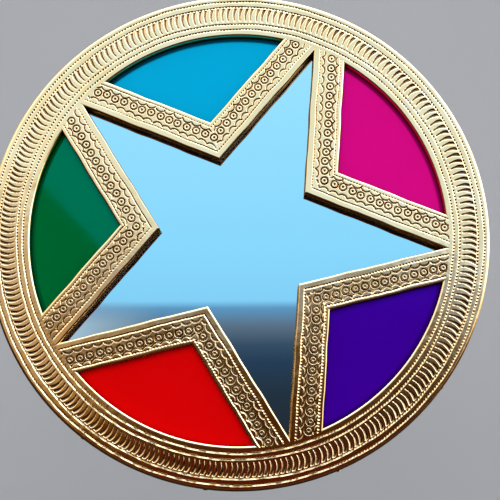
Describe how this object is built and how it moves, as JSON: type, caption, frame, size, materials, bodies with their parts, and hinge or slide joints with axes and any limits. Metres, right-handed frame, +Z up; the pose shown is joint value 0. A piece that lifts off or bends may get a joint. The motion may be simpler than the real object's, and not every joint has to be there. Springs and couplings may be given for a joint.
{
  "type": "wall mirror",
  "caption": "Round wall mirror: a star of looking glass in an engraved brass frame with glossy coloured panes, on a wooden core, with a swinging hanger ring behind.",
  "frame": {"origin": "centre of the flat back face, which lies against the wall", "axes": "+Z up the wall with a star tip on top, the front faces -Y, +X to the right as seen from the front"},
  "size_m": [0.4, 0.021, 0.4],
  "materials": {
    "engraved_brass": "engraved and polished sheet",
    "looking_glass": "silvered glass",
    "turquoise_resin": "glossy",
    "green_resin": "glossy",
    "red_resin": "glossy",
    "violet_resin": "glossy",
    "magenta_resin": "glossy",
    "cedar_wood": "raw",
    "plywood": "raw",
    "zinced_steel": "zinc plated"
  },
  "bodies": {
    "mirror": {"base_board": "plywood", "wooden_rim": "cedar_wood", "mirror_glass": "looking_glass", "brass_front": "engraved_brass", "turquoise_batten_left": "cedar_wood", "turquoise_batten_right": "cedar_wood", "turquoise_pane_bed": "plywood", "turquoise_pane": "turquoise_resin", "green_batten_left": "cedar_wood", "green_batten_right": "cedar_wood", "green_pane_bed": "plywood", "green_pane": "green_resin", "red_batten_left": "cedar_wood", "red_batten_right": "cedar_wood", "red_pane_bed": "plywood", "red_pane": "red_resin", "violet_batten_left": "cedar_wood", "violet_batten_right": "cedar_wood", "violet_pane_bed": "plywood", "violet_pane": "violet_resin", "magenta_batten_left": "cedar_wood", "magenta_batten_right": "cedar_wood", "magenta_pane_bed": "plywood", "magenta_pane": "magenta_resin", "rim_tack_01": "engraved_brass", "rim_tack_02": "engraved_brass", "rim_tack_03": "engraved_brass", "rim_tack_04": "engraved_brass", "rim_tack_05": "engraved_brass", "rim_tack_06": "engraved_brass", "rim_tack_07": "engraved_brass", "rim_tack_08": "engraved_brass", "rim_tack_09": "engraved_brass", "rim_tack_10": "engraved_brass", "rim_tack_11": "engraved_brass", "rim_tack_12": "engraved_brass", "board_nail_01": "zinced_steel", "board_nail_02": "zinced_steel", "board_nail_03": "zinced_steel", "board_nail_04": "zinced_steel", "board_nail_05": "zinced_steel", "board_nail_06": "zinced_steel", "board_nail_07": "zinced_steel", "board_nail_08": "zinced_steel", "hanger_plate": "zinced_steel", "hanger_screw": "zinced_steel"},
    "hanger_ring": {"hanger_ring": "zinced_steel"}
  },
  "joints": [
    {"name": "hanger_ring_swing", "type": "hinge", "parent": "mirror", "child": "hanger_ring", "pos_m": [0, -0.0036, 0.181], "axis": [1, 0, 0], "range_deg": [0, 180]}
  ]
}
